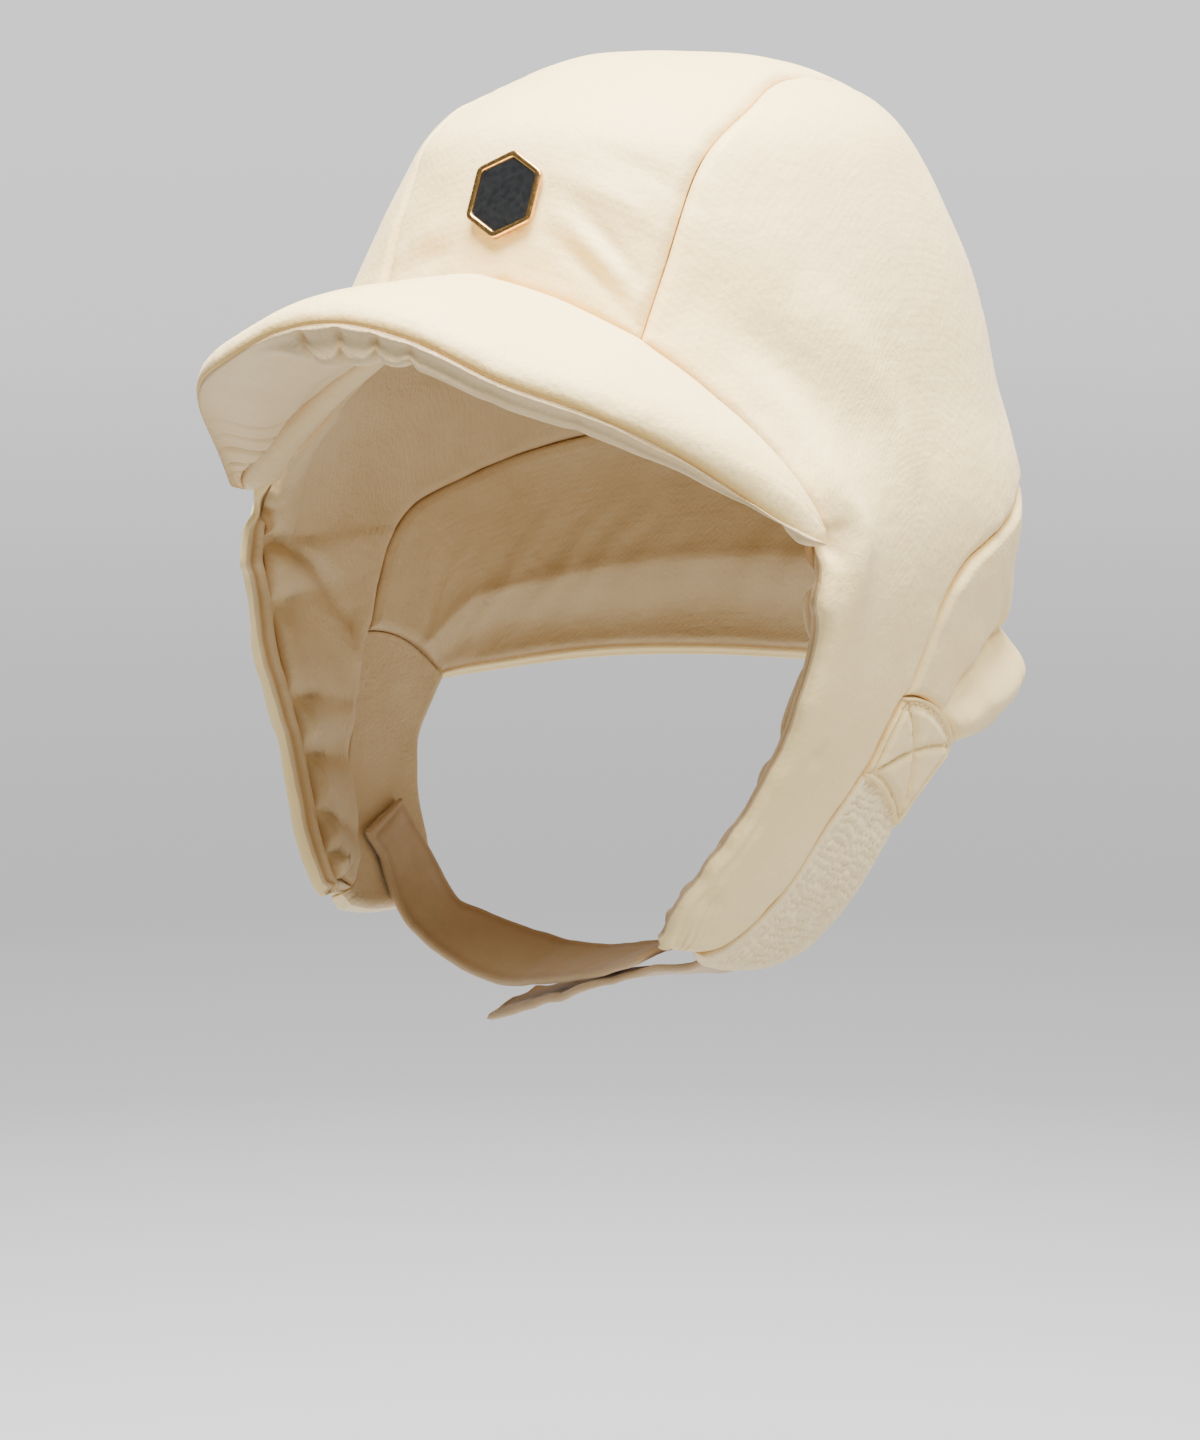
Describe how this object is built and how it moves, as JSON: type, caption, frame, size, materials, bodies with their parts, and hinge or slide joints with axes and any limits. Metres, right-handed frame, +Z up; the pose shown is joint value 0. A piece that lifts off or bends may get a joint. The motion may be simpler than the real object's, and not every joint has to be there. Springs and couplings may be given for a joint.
{
  "type": "padded winter balaclava cap with peak",
  "caption": "Padded hood-shaped cap with a curved padded peak, long cheek flaps, gathered neck roll, chin strap and plain pin badge.",
  "frame": {"origin": "inside of the crown top, where the cap sits on the head", "axes": "+Z up; the peak and face opening point to -Y; the wearer's left is +X"},
  "size_m": [0.2152, 0.2829, 0.2948],
  "materials": {
    "shell_fabric": "matte cream woven nylon over soft padding",
    "lining_fabric": "smooth cream lining",
    "loop_tape": "soft looped cream tape, cross-stitched",
    "strap_fabric": "cream double-layer strap",
    "badge_gold": "polished gold colour",
    "badge_enamel": "gloss black enamel"
  },
  "bodies": {
    "root": {"crown_centre": "shell_fabric", "side_panel_left": "shell_fabric", "side_panel_right": "shell_fabric", "neck_panel": "shell_fabric", "peak_top": "shell_fabric", "peak_underside": "shell_fabric", "lining_centre": "lining_fabric", "lining_side_left": "lining_fabric", "lining_side_right": "lining_fabric", "lining_neck": "lining_fabric", "tape_panel_left": "loop_tape", "tape_panel_right": "loop_tape", "cross_patch_left": "loop_tape", "cross_patch_right": "loop_tape", "chin_strap_right": "strap_fabric", "chin_strap_left": "strap_fabric", "badge_rim": "badge_gold", "badge_enamel": "badge_enamel"}
  },
  "joints": []
}
